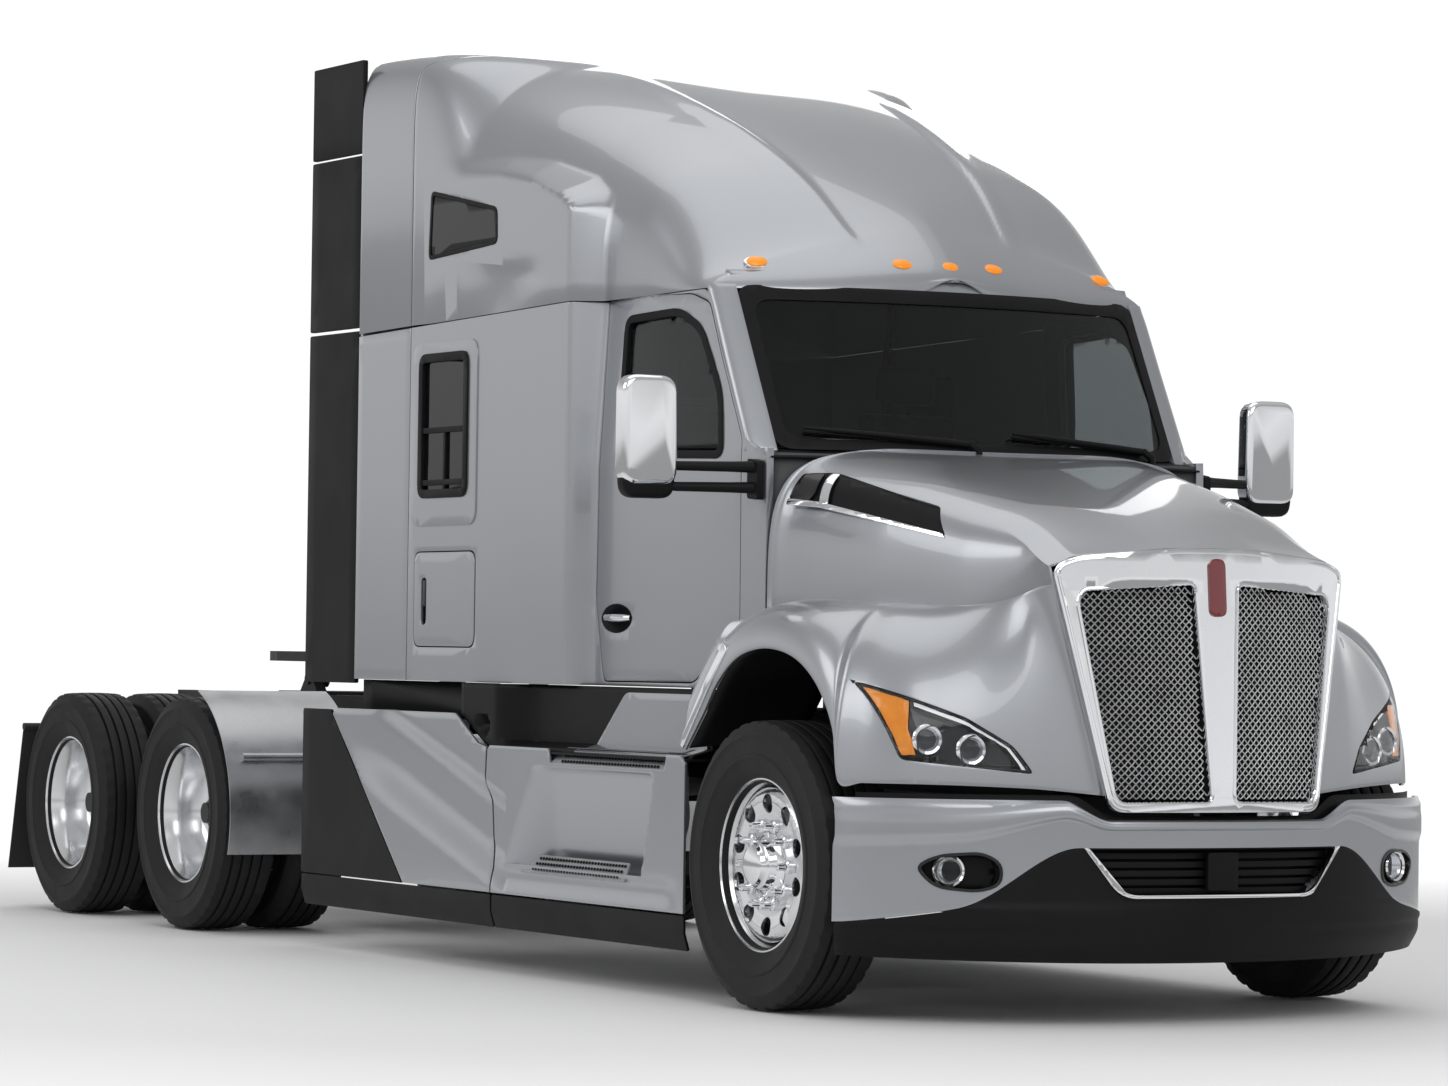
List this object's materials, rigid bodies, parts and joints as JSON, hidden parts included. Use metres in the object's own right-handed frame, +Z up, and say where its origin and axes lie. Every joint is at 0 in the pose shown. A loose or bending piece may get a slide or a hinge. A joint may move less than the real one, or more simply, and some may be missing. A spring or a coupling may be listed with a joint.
{
  "type": "semi truck tractor unit",
  "caption": "Long-hood sleeper tractor unit with steered front axle, tandem drive axles, tilting hood, opening doors and a tilting fifth wheel for coupling a semitrailer.",
  "frame": {"origin": "centre of the footprint on the ground under the whole unit, half-way between the bumper's nose and the rear mud flaps", "axes": "+X to the driver's left side, -Y is the driving direction, +Z up"},
  "size_m": [2.932, 8.3599, 3.715],
  "materials": {
    "silver_paint": "metallic gloss",
    "frame_paint": "satin",
    "forged_steel": "satin",
    "polished_alloy": "polished",
    "tread_alloy": "brushed",
    "bright_chrome": "mirror polish",
    "tyre_rubber": "matte",
    "flap_rubber": "matte",
    "black_plastic": "textured",
    "gloss_black": "gloss",
    "cabin_trim": "grained",
    "seat_cloth": "woven",
    "bedding": "woven",
    "tinted_glass": "tinted",
    "lamp_lens": "clear",
    "zinc_steel": "zinc plated"
  },
  "bodies": {
    "chassis": {"frame": "frame_paint", "front_axle": "forged_steel", "drive_axles": "forged_steel", "rear_suspension": "forged_steel", "engine": "forged_steel", "driveline": "forged_steel", "radiator": "tread_alloy", "fuel_tanks": "tread_alloy", "bumper": "silver_paint", "bumper_lower": "black_plastic", "chassis_lamps": "lamp_lens", "skirt_panels": "silver_paint", "skirt_trim": "black_plastic", "steps": "tread_alloy", "quarter_fenders": "tread_alloy", "mud_flaps": "flap_rubber", "fifth_wheel_base": "forged_steel", "cab_shell": "silver_paint", "roof": "silver_paint", "sleeper_rear": "silver_paint", "side_extenders": "black_plastic", "windshield": "tinted_glass", "sleeper_windows": "tinted_glass", "mirrors": "gloss_black", "wipers": "black_plastic", "dashboard": "cabin_trim", "steering_wheel": "cabin_trim", "seats": "seat_cloth", "bunk": "bedding", "hinge_pins": "zinc_steel"},
    "door_left": {"door_left": "silver_paint", "door_glass_left": "tinted_glass"},
    "door_right": {"door_right": "silver_paint", "door_glass_right": "tinted_glass"},
    "bay_door_left": {"bay_door_left": "silver_paint"},
    "bay_door_right": {"bay_door_right": "silver_paint"},
    "hood": {"hood": "silver_paint", "fenders": "silver_paint", "grille_surround": "bright_chrome", "grille_mesh": "black_plastic", "headlamps": "lamp_lens", "hood_vents": "black_plastic", "hood_frame": "frame_paint"},
    "knuckle_left": {"knuckle_left": "forged_steel"},
    "knuckle_right": {"knuckle_right": "forged_steel"},
    "tie_rod": {"tie_rod": "forged_steel"},
    "front_wheel_left": {"front_rim_left": "polished_alloy", "front_tyre_left": "tyre_rubber"},
    "front_wheel_right": {"front_rim_right": "polished_alloy", "front_tyre_right": "tyre_rubber"},
    "drive1_wheels_left": {"drive1_rims_left": "polished_alloy", "drive1_tyres_left": "tyre_rubber"},
    "drive1_wheels_right": {"drive1_rims_right": "polished_alloy", "drive1_tyres_right": "tyre_rubber"},
    "drive2_wheels_left": {"drive2_rims_left": "polished_alloy", "drive2_tyres_left": "tyre_rubber"},
    "drive2_wheels_right": {"drive2_rims_right": "polished_alloy", "drive2_tyres_right": "tyre_rubber"},
    "fifth_wheel": {"fifth_wheel": "forged_steel"}
  },
  "joints": [
    {"name": "steer", "type": "hinge", "parent": "chassis", "child": "knuckle_left", "pos_m": [0.96, -3.063, 0.51], "axis": [0, 0, 1], "range_deg": [-38, 38]},
    {"name": "steer_right", "type": "hinge", "parent": "chassis", "child": "knuckle_right", "pos_m": [-0.96, -3.063, 0.51], "axis": [0, 0, 1], "range_deg": [-38, 38]},
    {"name": "tie_rod_swing", "type": "hinge", "parent": "knuckle_left", "child": "tie_rod", "pos_m": [0.96, -2.863, 0.445], "axis": [0, 0, 1], "range_deg": [-38, 38]},
    {"name": "front_spin_left", "type": "hinge", "parent": "knuckle_left", "child": "front_wheel_left", "pos_m": [1.092, -3.063, 0.51], "axis": [1, 0, 0], "continuous": true},
    {"name": "front_spin_right", "type": "hinge", "parent": "knuckle_right", "child": "front_wheel_right", "pos_m": [-1.092, -3.063, 0.51], "axis": [1, 0, 0], "continuous": true},
    {"name": "drive1_spin_left", "type": "hinge", "parent": "chassis", "child": "drive1_wheels_left", "pos_m": [0.967, 2.065, 0.51], "axis": [1, 0, 0], "continuous": true},
    {"name": "drive1_spin_right", "type": "hinge", "parent": "chassis", "child": "drive1_wheels_right", "pos_m": [-0.967, 2.065, 0.51], "axis": [1, 0, 0], "continuous": true},
    {"name": "drive2_spin_left", "type": "hinge", "parent": "chassis", "child": "drive2_wheels_left", "pos_m": [0.967, 3.445, 0.51], "axis": [1, 0, 0], "continuous": true},
    {"name": "drive2_spin_right", "type": "hinge", "parent": "chassis", "child": "drive2_wheels_right", "pos_m": [-0.967, 3.445, 0.51], "axis": [1, 0, 0], "continuous": true},
    {"name": "door_left_swing", "type": "hinge", "parent": "chassis", "child": "door_left", "pos_m": [0.945, -2.427, 1.6], "axis": [0, 0, -1], "range_deg": [0, 70]},
    {"name": "door_right_swing", "type": "hinge", "parent": "chassis", "child": "door_right", "pos_m": [-0.945, -2.427, 1.6], "axis": [0, 0, 1], "range_deg": [0, 70]},
    {"name": "bay_door_left_swing", "type": "hinge", "parent": "chassis", "child": "bay_door_left", "pos_m": [1.126, -0.596, 1.448], "axis": [0, 0, -1], "range_deg": [0, 90]},
    {"name": "bay_door_right_swing", "type": "hinge", "parent": "chassis", "child": "bay_door_right", "pos_m": [-1.126, -0.596, 1.448], "axis": [0, 0, 1], "range_deg": [0, 90]},
    {"name": "hood_tilt", "type": "hinge", "parent": "chassis", "child": "hood", "pos_m": [0, -4.078, 0.79], "axis": [1, 0, 0], "range_deg": [0, 60]},
    {"name": "fifth_wheel_tilt", "type": "hinge", "parent": "chassis", "child": "fifth_wheel", "pos_m": [0, 2.67, 1.1], "axis": [1, 0, 0], "range_deg": [-15, 15]}
  ],
  "couplings": [
    {"joint": "steer_right", "follows": "steer", "ratio": 1},
    {"joint": "tie_rod_swing", "follows": "steer", "ratio": -1}
  ]
}
